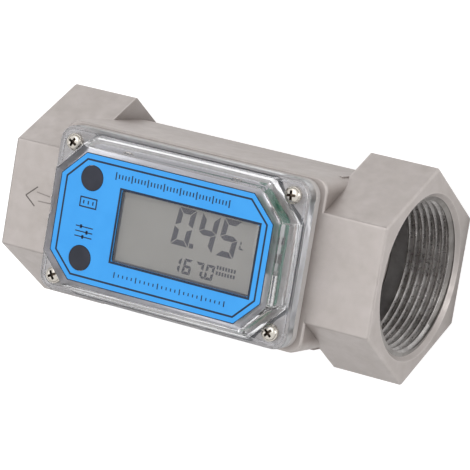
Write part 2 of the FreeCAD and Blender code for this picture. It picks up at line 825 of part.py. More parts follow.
# ---- Hand over ----
inlet_support = support()
nodes = {
    "meter_body": meter_body(),
    "inlet_support": inlet_support,
    "outlet_support": mirrored(inlet_support),
    "inlet_bearing": bearing(),
    "outlet_bearing": mirrored(bearing()),
    "inlet_snap_ring": snap_ring(),
    "outlet_snap_ring": mirrored(snap_ring()),
    "turbine_rotor": turbine_rotor(),
    "rotor_shaft": rotor_shaft(),
    "rotor_magnets": rotor_magnets(),
    "readout_tray": tray(),
    "tray_seal": body_seal(),
    "cover_seal": rim_seal(),
    "clear_cover": clear_cover(),
    "cover_screws": cover_screws(),
    "faceplate_label": faceplate_label(),
    "circuit_board": circuit_board(),
    "board_screws": board_screws(),
    "lcd_panel": lcd_panel(),
    "lcd_mask": lcd_mask(),
    "lcd_frame": lcd_frame(),
    "lcd_contact_strips": contact_strips(),
    "microcontroller": microcontroller(),
    "crystal": crystal(),
    "board_parts": board_parts(),
    "upper_switch": key_switch(1),
    "lower_switch": key_switch(-1),
    "upper_key": key(1),
    "lower_key": key(-1),
    "coin_cells": coin_cells(),
    "cell_clips": cell_clips(),
    "coil_bobbin": coil_bobbin(),
    "pickup_coil": pickup_coil(),
    "coil_core": coil_core(),
}

os.makedirs("parts", exist_ok=True)
for name, shape in nodes.items():
    box_of = shape.BoundBox
    print(f"{name}: valid={shape.isValid()} solids={len(shape.Solids)} volume={shape.Volume:.1f}"
          f" z={box_of.ZMin:.2f}..{box_of.ZMax:.2f}")
    shape.exportStep(f"parts/{name}.step")
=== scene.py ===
import math

import bmesh
import bpy
from mathutils import Matrix, Vector


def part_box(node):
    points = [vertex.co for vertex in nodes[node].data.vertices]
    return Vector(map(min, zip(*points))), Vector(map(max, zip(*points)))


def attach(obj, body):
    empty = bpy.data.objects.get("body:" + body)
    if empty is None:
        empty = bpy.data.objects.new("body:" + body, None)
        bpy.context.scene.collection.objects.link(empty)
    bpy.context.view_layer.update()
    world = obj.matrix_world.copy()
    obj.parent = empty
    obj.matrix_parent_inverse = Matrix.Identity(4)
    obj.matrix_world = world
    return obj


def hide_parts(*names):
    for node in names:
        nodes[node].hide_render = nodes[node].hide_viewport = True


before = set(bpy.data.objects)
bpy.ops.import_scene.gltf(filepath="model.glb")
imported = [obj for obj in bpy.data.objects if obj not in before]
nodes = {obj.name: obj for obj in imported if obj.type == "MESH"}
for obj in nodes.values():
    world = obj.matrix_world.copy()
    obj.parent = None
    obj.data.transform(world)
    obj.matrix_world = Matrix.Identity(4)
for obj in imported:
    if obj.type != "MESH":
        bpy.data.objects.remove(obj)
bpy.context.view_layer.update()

mm = 0.001


def corners(name):
    # lowest and highest corner of a node, in millimetres
    return [[value / mm for value in corner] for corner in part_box(name)]


coverLow, coverHigh = corners("clear_cover")
labelLow, labelHigh = corners("faceplate_label")
glassLow, glassHigh = corners("lcd_panel")
rotorLow, rotorHigh = corners("turbine_rotor")
pipeZ = (rotorLow[2] + rotorHigh[2]) / 2       # height of the pipe's axis
faceZ = corners("readout_tray")[0][2]          # front face of the casting
middleX = (coverLow[0] + coverHigh[0]) / 2     # middle of the readout
print("stage: frame loaded,", len(nodes), "nodes")


def toLinear(hexColour):
    # a written sRGB colour along the standard curve
    values = []
    for start in (0, 2, 4):
        part = int(hexColour[start:start + 2], 16) / 255
        values.append(part / 12.92 if part <= 0.04045 else ((part + 0.055) / 1.055) ** 2.4)
    return (*values, 1.0)


def addNode(tree, kind, settings=None, links=None):
    # settings: a node property or an unlinked input; links: input -> (node, output)
    node = tree.nodes.new(kind)
    for name, value in (settings or {}).items():
        if isinstance(name, str) and hasattr(node, name):
            setattr(node, name, value)
        else:
            node.inputs[name].default_value = value
    for name, (source, output) in (links or {}).items():
        tree.links.new(source.outputs[output], node.inputs[name])
    return node


def plug(tree, node, output, target, socket):
    tree.links.new(node.outputs[output], target.inputs[socket])


def startMaterial(name, colour, roughness, metallic=0.0, **more):
    material = bpy.data.materials.new(name)
    material.use_nodes = True
    tree = material.node_tree
    shader = tree.nodes["Principled BSDF"]
    shader.inputs["Base Color"].default_value = toLinear(colour)
    shader.inputs["Roughness"].default_value = roughness
    shader.inputs["Metallic"].default_value = metallic
    for key, value in more.items():
        shader.inputs[key.replace("_", " ")].default_value = value
    place = addNode(tree, "ShaderNodeTexCoord")
    return material, tree, shader, place


def perMetre(sizeMm):
    return 1 / (sizeMm * mm)       # a texture scale whose pattern repeats in this many millimetres


def mottle(tree, place, sizeMm, low, high, detail=3.0, start=0.35, end=0.65):
    # noise stretched between two colours, or between two greys for a value
    noise = addNode(tree, "ShaderNodeTexNoise", {"Scale": perMetre(sizeMm), "Detail": detail},
                    {"Vector": (place, "Object")})
    ramp = addNode(tree, "ShaderNodeValToRGB", {}, {"Fac": (noise, "Fac")})
    for spot, position, colour in ((0, start, low), (1, end, high)):
        if not isinstance(colour, tuple):
            colour = (colour, colour, colour, 1)
        ramp.color_ramp.elements[spot].position = position
        ramp.color_ramp.elements[spot].color = colour
    return ramp


sharpDegrees = 35      # an edge that turns more than this stays crisp


def finishPiece(bm, name, materials, replaces=(), smooth=True):
    # the mesh is in millimetres until here; every new piece belongs to the body of the meter
    bmesh.ops.scale(bm, vec=(mm, mm, mm), verts=bm.verts)
    mesh = bpy.data.meshes.new(name)
    bm.to_mesh(mesh)
    bm.free()
    for material in materials if isinstance(materials, tuple) else (materials,):
        mesh.materials.append(material)
    piece = bpy.data.objects.new(name, mesh)
    bpy.context.scene.collection.objects.link(piece)
    if smooth:
        mesh.shade_smooth()
        mesh.set_sharp_from_angle(angle=math.radians(sharpDegrees))
    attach(piece, "meter")
    if replaces:
        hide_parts(*replaces)
    return piece


def dress(material, *names):
    # gives nodes their material
    for name in names:
        slots = nodes[name].material_slots
        if not slots:
            nodes[name].data.materials.append(material)
        for place in slots:
            place.material = material


def pourInto(bm, other):
    # adds one bmesh to another
    part = bpy.data.meshes.new("part")
    other.to_mesh(part)
    other.free()
    bm.from_mesh(part)
    bpy.data.meshes.remove(part)


# metals
castLook = {
    # the pale edge colour is part wear, part painted highlight; the dark corner colour is painted shade,
    # with some grime
    "colour": "BAB3B0", "dark": "B6AFAB", "light": "BEB7B4", "edgeWearAndHighlight": "D8D2CF", "grimeAndShade": "7E7672",
    "rough": (0.45, 0.55), "roughMm": 3.0,
    "patchMm": 7.0, "patchDetail": 6.0, "patchSpan": (0.3, 0.7),
    "gritMm": 0.5, "gritHeight": 0.06, "gritBump": 0.4, "swellMm": 9.0, "swellHeight": 0.1, "swellBump": 0.3,
    "edgeMm": 1.1, "edgeTurn": (0.995, 0.9), "edgeMost": 0.6,        # where two faces meet outwards
    "cornerMm": 9.0, "openSpan": (0.6, 0.9), "deepSpan": (0.8, 0.3), "deepMost": 0.8, "samples": 6,
}


def castSteel():
    # investment-cast stainless, bead-blasted: an even satin grey with fine grit, outward edges painted
    # brighter (part wear, part painted highlight), inner corners painted darker (painted shade, with some
    # grime)
    look = castLook
    material, tree, shader, place = startMaterial("blastedCastSteel", look["colour"], 0.5, 1.0)
    patches = mottle(tree, place, look["patchMm"], toLinear(look["dark"]), toLinear(look["light"]),
                     look["patchDetail"], *look["patchSpan"])
    # how far the rounded normal leans away from the face's own one
    soft = addNode(tree, "ShaderNodeBevel", {"samples": look["samples"], "Radius": look["edgeMm"] * mm})
    plain = addNode(tree, "ShaderNodeNewGeometry")
    same = addNode(tree, "ShaderNodeVectorMath", {"operation": "DOT_PRODUCT"},
                   {0: (soft, "Normal"), 1: (plain, "True Normal")})
    edge = addNode(tree, "ShaderNodeMapRange",
                   {"From Min": look["edgeTurn"][0], "From Max": look["edgeTurn"][1],
                    "To Max": look["edgeMost"]}, {"Value": (same, "Value")})
    corner = addNode(tree, "ShaderNodeAmbientOcclusion",
                     {"samples": look["samples"], "Distance": look["cornerMm"] * mm})
    clearOf = addNode(tree, "ShaderNodeMapRange",
                      {"From Min": look["openSpan"][0], "From Max": look["openSpan"][1]},
                      {"Value": (corner, "AO")})
    # outward edges painted lighter: part wear, part painted highlight
    outward = addNode(tree, "ShaderNodeMath", {"operation": "MULTIPLY"},
                      {0: (edge, "Result"), 1: (clearOf, "Result")})
    wearAndHighlight = addNode(tree, "ShaderNodeMix", {"data_type": "RGBA", 7: toLinear(look["edgeWearAndHighlight"])},
                     {0: (outward, "Value"), 6: (patches, "Color")})
    # inner corners painted darker: painted shade, with some grime
    deep = addNode(tree, "ShaderNodeMapRange",
                   {"From Min": look["deepSpan"][0], "From Max": look["deepSpan"][1],
                    "To Max": look["deepMost"]}, {"Value": (corner, "AO")})
    shaded = addNode(tree, "ShaderNodeMix", {"data_type": "RGBA", 7: toLinear(look["grimeAndShade"])},
                     {0: (deep, "Result"), 6: (wearAndHighlight, 2)})
    plug(tree, shaded, 2, shader, "Base Color")
    wave = addNode(tree, "ShaderNodeTexNoise", {"Scale": perMetre(look["swellMm"]), "Detail": 1.0},
                   {"Vector": (place, "Object")})
    swell = addNode(tree, "ShaderNodeBump",
                    {"Strength": look["swellBump"], "Distance": look["swellHeight"] * mm},
                    {"Height": (wave, "Fac")})
    # real grit is about 0.1 mm; it is drawn coarser so that it shows
    grit = addNode(tree, "ShaderNodeTexNoise",
                   {"Scale": perMetre(look["gritMm"]), "Detail": 3.0, "Roughness": 0.6},
                   {"Vector": (place, "Object")})
    grain = addNode(tree, "ShaderNodeBump",
                    {"Strength": look["gritBump"], "Distance": look["gritHeight"] * mm},
                    {"Height": (grit, "Fac"), "Normal": (swell, "Normal")})
    plug(tree, grain, "Normal", shader, "Normal")
    rough = mottle(tree, place, look["roughMm"], *look["rough"])
    plug(tree, rough, "Color", shader, "Roughness")
    return material


threadLook = {"colour": "BBB8B6", "dark": "AAA6A4", "light": "C9C6C4", "ringMm": 0.35, "rough": (0.24, 0.36)}
mouthLook = {"colour": "8F8B88", "dark": "86827F", "light": "9A9693", "ringMm": 0.5, "rough": (0.35, 0.5)}
boreLook = {"colour": "C2C2C5", "dark": "B8B8BB", "light": "CCCCCF", "ringMm": 0.5, "rough": (0.36, 0.5)}
toolRings = {"wander": 0.6, "bump": 0.05, "deepMm": 0.02, "roughMm": 1.2, "stainMm": 4.0}
waveShare = 0.314      # a wave texture repeats in this share of its scale


def machinedSteel(name, look):
    # turned stainless: glossier than the casting, with tool rings round the axis and a little soot
    material, tree, shader, place = startMaterial(name, look["colour"], look["rough"][0], 1.0)
    rings = addNode(tree, "ShaderNodeTexWave",
                    {"wave_type": "BANDS", "bands_direction": "X", "Detail": 1.0,
                     "Distortion": toolRings["wander"], "Scale": waveShare * perMetre(look["ringMm"])},
                    {"Vector": (place, "Object")})
    bump = addNode(tree, "ShaderNodeBump",
                   {"Strength": toolRings["bump"], "Distance": toolRings["deepMm"] * mm},
                   {"Height": (rings, "Fac")})
    plug(tree, bump, "Normal", shader, "Normal")
    rough = mottle(tree, place, toolRings["roughMm"], *look["rough"])
    plug(tree, rough, "Color", shader, "Roughness")
    stain = mottle(tree, place, toolRings["stainMm"], toLinear(look["dark"]), toLinear(look["light"]))
    plug(tree, stain, "Color", shader, "Base Color")
    return material


smallMetalLook = {"least": 0.7, "most": 1.5, "bump": 0.2, "dentMm": 0.03}


def smallMetal(name, colour, roughness, grainMm):
    # plated, drawn or stamped: sharp highlights, a little uneven
    look = smallMetalLook
    material, tree, shader, place = startMaterial(name, colour, roughness, 1.0)
    rough = mottle(tree, place, grainMm, roughness * look["least"], roughness * look["most"])
    plug(tree, rough, "Color", shader, "Roughness")
    dents = addNode(tree, "ShaderNodeTexNoise", {"Scale": perMetre(grainMm)}, {"Vector": (place, "Object")})
    bump = addNode(tree, "ShaderNodeBump", {"Strength": look["bump"], "Distance": look["dentMm"] * mm},
                   {"Height": (dents, "Fac")})
    plug(tree, bump, "Normal", shader, "Normal")
    return material


copperLook = {"colour": "B0693A", "rough": 0.3, "turnMm": 0.4, "bump": 0.6, "deepMm": 0.08}


def woundCopper():
    # enamelled wire: the turns show as fine rings down the coil
    look = copperLook
    material, tree, shader, place = startMaterial("enamelledCopper", look["colour"], look["rough"], 1.0)
    turns = addNode(tree, "ShaderNodeTexWave",
                    {"wave_type": "BANDS", "bands_direction": "Z",
                     "Scale": waveShare * perMetre(look["turnMm"])}, {"Vector": (place, "Object")})
    bump = addNode(tree, "ShaderNodeBump", {"Strength": look["bump"], "Distance": look["deepMm"] * mm},
                   {"Height": (turns, "Fac")})
    plug(tree, bump, "Normal", shader, "Normal")
    return material


# plastics, rubber and print
mouldedLook = {"driftMm": 6.0, "driftDetail": 2.0, "bump": 0.25}


def mouldedPlastic(name, colour, second, roughness, grainMm=0.8, height=0.02, **more):
    # moulded skin: one colour with the slightest drift, and a fine orange-peel grain
    look = mouldedLook
    material, tree, shader, place = startMaterial(name, colour, roughness, **more)
    drift = mottle(tree, place, look["driftMm"], toLinear(colour), toLinear(second), look["driftDetail"])
    plug(tree, drift, "Color", shader, "Base Color")
    peel = addNode(tree, "ShaderNodeTexNoise", {"Scale": perMetre(grainMm), "Detail": 2.0},
                   {"Vector": (place, "Object")})
    bump = addNode(tree, "ShaderNodeBump", {"Strength": look["bump"], "Distance": height * mm},
                   {"Height": (peel, "Fac")})
    plug(tree, bump, "Normal", shader, "Normal")
    return material


clearLook = {"ior": 1.58, "flowMm": 6.0, "bump": 0.3, "waveMm": 0.25, "hazeMm": 4.0, "lampTint": "FAFAFB"}


def clearPlastic(name, colour, least, most):
    # injection-moulded clear polycarbonate: glassy skin, faint flow waves; lamps reach what is behind it
    look = clearLook
    material, tree, shader, place = startMaterial(name, colour, least, IOR=look["ior"],
                                                  Transmission_Weight=1.0)
    flow = addNode(tree, "ShaderNodeTexNoise", {"Scale": perMetre(look["flowMm"]), "Detail": 1.0},
                   {"Vector": (place, "Object")})
    bump = addNode(tree, "ShaderNodeBump", {"Strength": look["bump"], "Distance": look["waveMm"] * mm},
                   {"Height": (flow, "Fac")})
    plug(tree, bump, "Normal", shader, "Normal")
    rough = mottle(tree, place, look["hazeMm"], least, most)
    plug(tree, rough, "Color", shader, "Roughness")
    path = addNode(tree, "ShaderNodeLightPath")
    through = addNode(tree, "ShaderNodeBsdfTransparent", {"Color": toLinear(look["lampTint"])})
    mix = addNode(tree, "ShaderNodeMixShader", {},
                  {0: (path, "Is Shadow Ray"), 1: (shader, "BSDF"), 2: (through, "BSDF")})
    plug(tree, mix, "Shader", tree.nodes["Material Output"], "Surface")
    return material


boardLook = {
    "mask": "2E6452", "track": "38755F", "tinned": "C6C4C8", "rough": 0.35, "cellMm": 2.2,
    "trackSpan": (0.05, 0.09), "bump": 0.2, "copperMm": 0.03,
    # millimetres from the middle of the readout
    "bandY": 16.4, "tinnedX": 30.5, "halfX": 36.0, "cutSum": 47.7, "strip": 1.9,
}


def circuitMaterial():
    # glass-epoxy board: green mask over copper tracks, tinned earth bands, a bare green strip round the
    # inlet end
    look = boardLook
    material, tree, shader, place = startMaterial("greenCircuitBoard", look["mask"], look["rough"])
    cells = addNode(tree, "ShaderNodeTexVoronoi",
                    {"distance": "MANHATTAN", "feature": "DISTANCE_TO_EDGE",
                     "Scale": perMetre(look["cellMm"])}, {"Vector": (place, "Object")})
    ramp = addNode(tree, "ShaderNodeValToRGB", {}, {"Fac": (cells, "Distance")})
    for spot, name in ((0, "track"), (1, "mask")):
        ramp.color_ramp.elements[spot].position = look["trackSpan"][spot]
        ramp.color_ramp.elements[spot].color = toLinear(look[name])
    apart = addNode(tree, "ShaderNodeSeparateXYZ", {}, {0: (place, "Object")})
    far = addNode(tree, "ShaderNodeMath", {"operation": "ABSOLUTE"}, {0: (apart, "Y")})
    wide = addNode(tree, "ShaderNodeMath", {"operation": "GREATER_THAN", 1: look["bandY"] * mm},
                   {0: (far, "Value")})
    nearEnd = addNode(tree, "ShaderNodeMath",
                      {"operation": "GREATER_THAN", 1: (middleX + look["tinnedX"]) * mm}, {0: (apart, "X")})
    band = addNode(tree, "ShaderNodeMath", {"operation": "MAXIMUM"},
                   {0: (wide, "Value"), 1: (nearEnd, "Value")})
    # the strip keeps its width along the end and round both cut corners
    stripEnd = middleX + look["halfX"] - look["strip"]
    stripCorner = middleX + look["cutSum"] - look["strip"] * math.sqrt(2)
    both = addNode(tree, "ShaderNodeMath", {"operation": "ADD"}, {0: (apart, "X"), 1: (far, "Value")})
    corner = addNode(tree, "ShaderNodeMath", {"operation": "LESS_THAN", 1: stripCorner * mm},
                     {0: (both, "Value")})
    end = addNode(tree, "ShaderNodeMath", {"operation": "LESS_THAN", 1: stripEnd * mm}, {0: (apart, "X")})
    inside = addNode(tree, "ShaderNodeMath", {"operation": "MULTIPLY"},
                     {0: (corner, "Value"), 1: (end, "Value")})
    bare = addNode(tree, "ShaderNodeMath", {"operation": "MULTIPLY"},
                   {0: (band, "Value"), 1: (inside, "Value")})
    mixed = addNode(tree, "ShaderNodeMix", {"data_type": "RGBA", 7: toLinear(look["tinned"])},
                    {0: (bare, "Value"), 6: (ramp, "Color")})
    plug(tree, mixed, 2, shader, "Base Color")
    bump = addNode(tree, "ShaderNodeBump", {"Strength": look["bump"], "Distance": look["copperMm"] * mm},
                   {"Height": (cells, "Distance")})
    plug(tree, bump, "Normal", shader, "Normal")
    return material


steel = castSteel()
threadSteel = machinedSteel("turnedThreadSteel", threadLook)   # bright crests in the light
boreSteel = machinedSteel("turnedBoreSteel", boreLook)         # behind the thread, dulled by fuel
mouthSteel = machinedSteel("handledThreadStart", mouthLook)    # the first turn, dirty from fitting
# small metal: warm nickel screws whose recesses are painted dark brown as shade, darker drawn springs,
# bright tinned cans
screwSteel = smallMetal("nickelPlatedSteel", "CFC9C0", 0.2, 0.6)
recessShadeSteel = smallMetal("recessPaintedShade", "6B5F55", 0.4, 0.4)
springSteel = smallMetal("springSteel", "8D8884", 0.3, 1.0)
cellSteel = smallMetal("stainlessCellCan", "BDBAB6", 0.28, 2.0)
clipSteel = smallMetal("phosphorBronzeClip", "B79B6A", 0.3, 1.0)
crystalCan = smallMetal("tinnedCan", "D2D1CE", 0.25, 0.8)
magnetSteel = smallMetal("nickelPlatedMagnet", "A9A8A8", 0.22, 0.6)
coreIron = smallMetal("softIron", "6F6C6A", 0.4, 1.0)
copper = woundCopper()
# the cover: glassy all over, satin on the flat round the label and down the flange's edge; the flat round
# the label is tinted darker violet, painted shade
clear = clearPlastic("clearPolycarbonate", "FBFBFD", 0.02, 0.07)
clearLandShaded = clearPlastic("satinLandPaintedShade", "D2D2DE", 0.3, 0.4)
clearRim = clearPlastic("satinFlangeRim", "E6E6E8", 0.3, 0.4)
board = circuitMaterial()
# engineering plastics: even satin skins, pale for the tray and supports, near black for the rotor
trayPlastic = mouldedPlastic("greyTrayPlastic", "B9B5B3", "C0BCBA", 0.42)
supportPlastic = mouldedPlastic("acetalSupports", "DAD7CE", "E0DDD5", 0.38)
rotorPlastic = mouldedPlastic("nylonRotor", "2B2D30", "33363A", 0.4)
bobbinBlack = mouldedPlastic("bobbinNylon", "2B2B30", "323238", 0.4)
chipBlack = mouldedPlastic("chipEpoxy", "2A2B2D", "333436", 0.5)
switchBlack = mouldedPlastic("switchCase", "2C2D30", "35363A", 0.45)
frameWhite = mouldedPlastic("whiteDisplayFrame", "CBCBC8", "D3D3D0", 0.4)
# fired ceramic: cream, smoother than the plastics
bearing = mouldedPlastic("ceramicBearing", "E6E2DA", "EDEAE3", 0.22)
# rubber: dull, with a coarser skin
darkRubber = mouldedPlastic("nitrileRubber", "2C2D32", "35363B", 0.55, 0.6, 0.03)
keyRubber = mouldedPlastic("siliconeKey", "2F313A", "373943", 0.55, 0.5, 0.03, Specular_IOR_Level=0.25)
# film, ink and glass: flat and even, with a weak sheen
labelBlue = mouldedPlastic("printedPolyester", "3EA3F2", "42A7F5", 0.34, 0.5, 0.008, Specular_IOR_Level=0.3)
# this navy also draws the painted shadow along the label's cut edge
navyInkAndShadow = mouldedPlastic("navyInkAndGapShadow", "1F2B40", "253145", 0.38, 0.5, 0.004, Specular_IOR_Level=0.3)
displayGrey = mouldedPlastic("displayGlass", "8F8D87", "93918B", 0.3, 2.0, 0.01, Specular_IOR_Level=0.2)
maskGrey = mouldedPlastic("displayBorderInk", "55565F", "5C5D66", 0.4)
segmentInk = mouldedPlastic("liquidCrystal", "302F3B", "383743", 0.4, 1.0, 0.004, Specular_IOR_Level=0.2)
# engraved lines, drawn as flat strokes coloured darker than the casting; lines shallowed by wear show less
engraved = mouldedPlastic("engravedGroove", "5B5552", "66605C", 0.6, 0.4, 0.03)
faintGroove = mouldedPlastic("shallowGroove", "8C8581", "938C88", 0.6, 0.4, 0.03)

dress(steel, "meter_body")
dress(supportPlastic, "inlet_support", "outlet_support")
dress(bearing, "inlet_bearing", "outlet_bearing")
dress(springSteel, "inlet_snap_ring", "outlet_snap_ring", "rotor_shaft")
dress(magnetSteel, "rotor_magnets")
dress(rotorPlastic, "turbine_rotor")
dress(trayPlastic, "readout_tray")
dress(darkRubber, "tray_seal", "cover_seal", "lcd_contact_strips")
dress(clear, "clear_cover")
dress(labelBlue, "faceplate_label")
dress(board, "circuit_board")
dress(screwSteel, "board_screws", "cover_screws")
dress(displayGrey, "lcd_panel")
dress(maskGrey, "lcd_mask")
dress(frameWhite, "lcd_frame")
dress(chipBlack, "microcontroller", "board_parts")
dress(crystalCan, "crystal")
dress(switchBlack, "upper_switch", "lower_switch")
dress(keyRubber, "upper_key", "lower_key")
dress(cellSteel, "coin_cells")
dress(clipSteel, "cell_clips")
dress(bobbinBlack, "coil_bobbin")
dress(copper, "pickup_coil")
dress(coreIron, "coil_core")
print("stage: materials")


# pipe threads, cut into the plain wall at both ends; the crests and roots are rounded
threadPiece = {
    "pitch": 2.209, "rootR": 23.95, "depth": 1.3, "taper": 1 / 32, "from": 46.7, "to": 62.3, "steps": 90,
    "early": 1.593,                                     # turns before the cut, which set where it starts
    "wallR": 23.985, "boreFrom": 41.8, "boreR": 23.4,   # the smooth bore behind the thread
    "mouthFrom": 61.1, "weld": 0.004, "slack": 0.01,
    # share of the pitch and of the depth
    "profile": ((0, 0), (0.06, 0), (0.13, 0.1), (0.40, 0.86), (0.45, 0.98), (0.5, 1.0), (0.55, 0.98),
                (0.60, 0.86), (0.87, 0.1), (0.94, 0), (1, 0)),
}
threadMaterials = (threadSteel, boreSteel, mouthSteel)


def pipeThread(side):
    t = threadPiece
    pitch = t["pitch"]
    turns = math.ceil((t["to"] - t["from"]) / pitch) + 2       # two to spare, cut off below
    start = t["from"] - t["early"] * pitch
    bm = bmesh.new()
    points = [bm.verts.new((start + share * pitch, 0, t["rootR"] - high * t["depth"]))
              for share, high in t["profile"]]
    edges = [bm.edges.new(pair) for pair in zip(points, points[1:])]
    bmesh.ops.spin(bm, geom=points + edges, cent=(0, 0, 0), axis=(1, 0, 0),
                   dvec=(pitch / t["steps"], 0, 0), angle=math.tau * turns, steps=t["steps"] * turns)
    bmesh.ops.remove_doubles(bm, verts=bm.verts, dist=t["weld"])
    for vert in bm.verts:          # the thread narrows inwards
        scale = 1 - (t["to"] - vert.co.x) * t["taper"] / t["rootR"]
        vert.co.yz = vert.co.yz * scale
    for place, way in ((t["from"], -1), (t["to"], 1)):
        bmesh.ops.bisect_plane(bm, geom=bm.verts[:] + bm.edges[:] + bm.faces[:], dist=1e-5,
                               plane_co=(place, 0, 0), plane_no=(way, 0, 0), clear_outer=True)
    for face in bm.faces:
        face.material_index = 2 if face.calc_center_median().x > t["mouthFrom"] else 0
    rims = [edge for edge in bm.edges if edge.is_boundary]
    # behind the thread the bore is turned smooth; both ends then step out to the wall
    inward = ((t["from"], t["boreR"]), (t["boreFrom"], t["boreR"]), (t["boreFrom"], t["wallR"]))
    outward = ((t["to"], t["wallR"]),)
    outer = []
    for place, steps, index in ((t["from"], inward, 1), (t["to"], outward, 2)):
        ring = [edge for edge in rims if abs(edge.verts[0].co.x - place) < t["slack"]]
        for x, radius in steps:
            made = bmesh.ops.extrude_edge_only(bm, edges=ring)["geom"]
            for item in made:
                if isinstance(item, bmesh.types.BMVert):
                    item.co.yz = item.co.yz.normalized() * radius
                    item.co.x = x
                elif isinstance(item, bmesh.types.BMFace):
                    item.material_index = index
            ring = [item for item in made if isinstance(item, bmesh.types.BMEdge) and item.is_boundary]
        outer += ring
    bmesh.ops.bridge_loops(bm, edges=outer)
    if side < 0:
        bmesh.ops.scale(bm, vec=(-1, 1, 1), verts=bm.verts)
    bmesh.ops.recalc_face_normals(bm, faces=bm.faces)
    bmesh.ops.translate(bm, vec=(0, 0, pipeZ), verts=bm.verts)
    name = "outletThreadTurns" if side < 0 else "inletThreadTurns"
    finishPiece(bm, name, threadMaterials)


for side in (1, -1):
    pipeThread(side)
print("stage: threads")


# strokes lying on a flat face
def addBar(bm, start, end, width, low, high):
    # one straight stroke between two points, with a level top
    a, b = Vector((*start, 0)), Vector((*end, 0))
    along = b - a
    made = bmesh.ops.create_cube(bm, size=1)["verts"]
    bmesh.ops.scale(bm, vec=(along.length, width, high - low), verts=made)
    turn = Matrix.Rotation(math.atan2(along.y, along.x), 3, "Z")
    bmesh.ops.rotate(bm, cent=(0, 0, 0), matrix=turn, verts=made)
    middle = (a + b) / 2
    bmesh.ops.translate(bm, vec=(middle.x, middle.y, (low + high) / 2), verts=made)


def raisePlate(bm, faces, rise):
    # a flat face becomes a thin plate
    made = bmesh.ops.extrude_face_region(bm, geom=faces, use_keep_orig=True)["geom"]
    lifted = [item for item in made if isinstance(item, bmesh.types.BMVert)]
    bmesh.ops.translate(bm, vec=(0, 0, rise), verts=lifted)


def addRing(bm, points, width, low, high):
    # closed line of even width inside a polygon
    face = bm.faces.new([bm.verts.new((x, y, low)) for x, y in points])
    face.normal_update()           # the inset works from it
    rim = bmesh.ops.inset_region(bm, faces=[face], thickness=width, use_boundary=True,
                                 use_even_offset=True)["faces"]
    bmesh.ops.delete(bm, geom=[face], context="FACES_ONLY")
    raisePlate(bm, rim, high - low)


arrow = {
    "width": 0.36, "shaftWidth": 0.3, "high": 0.035, "tip": (-57.2, -0.1),
    "barbs": ((-53.4, 3.2), (-53.6, -2.8)),
    "shaft": (((-53.5, 1.6), (-48.7, 1.1)), ((-52.6, -1.0), (-47.9, -0.9))),
}


def flowArrow():
    # direction of flow, engraved in the outlet end and drawn as dark flat strokes; its shaft is shallow and
    # faded by wear
    bm = bmesh.new()
    for barb in arrow["barbs"]:
        addBar(bm, arrow["tip"], barb, arrow["width"], faceZ, faceZ + arrow["high"])
    finishPiece(bm, "flowArrowHead", engraved, smooth=False)
    bm = bmesh.new()
    for start, end in arrow["shaft"]:
        addBar(bm, start, end, arrow["shaftWidth"], faceZ, faceZ + arrow["high"])
    finishPiece(bm, "flowArrowShaft", faintGroove, smooth=False)


flowArrow()


# the clear cover keeps its own shape; its underside is lifted off the tray by a hair of air
coverPiece = {
    "merge": 1e-6, "air": 0.03, "flatWeight": 100,
    "land": 0.05,                                # satin: faces this near the top,
    "rim": 1.4, "rimRise": 3.9, "level": 0.9,    # and the flange's sides, this near its edge
}


def clearCover():
    bm = bmesh.new()
    bm.from_mesh(nodes["clear_cover"].data)
    bmesh.ops.remove_doubles(bm, verts=bm.verts, dist=coverPiece["merge"])
    bmesh.ops.scale(bm, vec=(1 / mm, 1 / mm, 1 / mm), verts=bm.verts)
    for vert in bm.verts:
        if vert.co.z < coverLow[2] + coverPiece["air"]:
            vert.co.z = coverLow[2] + coverPiece["air"]
    for face in bm.faces:
        x, y, z = face.calc_center_median()
        atLand = min(vert.co.z for vert in face.verts) > coverHigh[2] - coverPiece["land"]
        atRim = max(abs(x - middleX) - (coverHigh[0] - middleX), abs(y) - coverHigh[1]) > -coverPiece["rim"]
        if atLand:
            # the flat takes the darker violet tint, painted shade
            face.material_index = 1
        elif atRim and z < coverLow[2] + coverPiece["rimRise"] and face.normal.z < coverPiece["level"]:
            face.material_index = 2
    piece = finishPiece(bm, "clearCoverMoulding", (clear, clearLandShaded, clearRim),
                        replaces=("clear_cover",))
    even = piece.modifiers.new("flatFaces", "WEIGHTED_NORMAL")     # rounded edges don't shade the flats
    even.keep_sharp = True
    even.weight = coverPiece["flatWeight"]


clearCover()
print("stage: cover")


screw = {
    "inset": (5.45, 4.8), "foot": 62.42, "headR": 2.65, "headT": 2.0, "shankR": 1.4, "tipZ": 49.6,
    "tipShare": 0.6, "tipLong": 0.8, "steps": 40, "weld": 0.001,
    # the pan head, in shares of its radius and height
    "dome": ((1, 0), (1, 0.3), (0.95, 0.55), (0.82, 0.78), (0.62, 0.92), (0.3, 0.99), (0, 1)),
    "slotW": 0.95, "slotLong": 4.3, "slotDeep": 1.35, "floorLong": 0.4, "floorWide": 0.7,
    "turn": (0.5, 1.1, 0.85, 0.1),               # how far each was driven
}


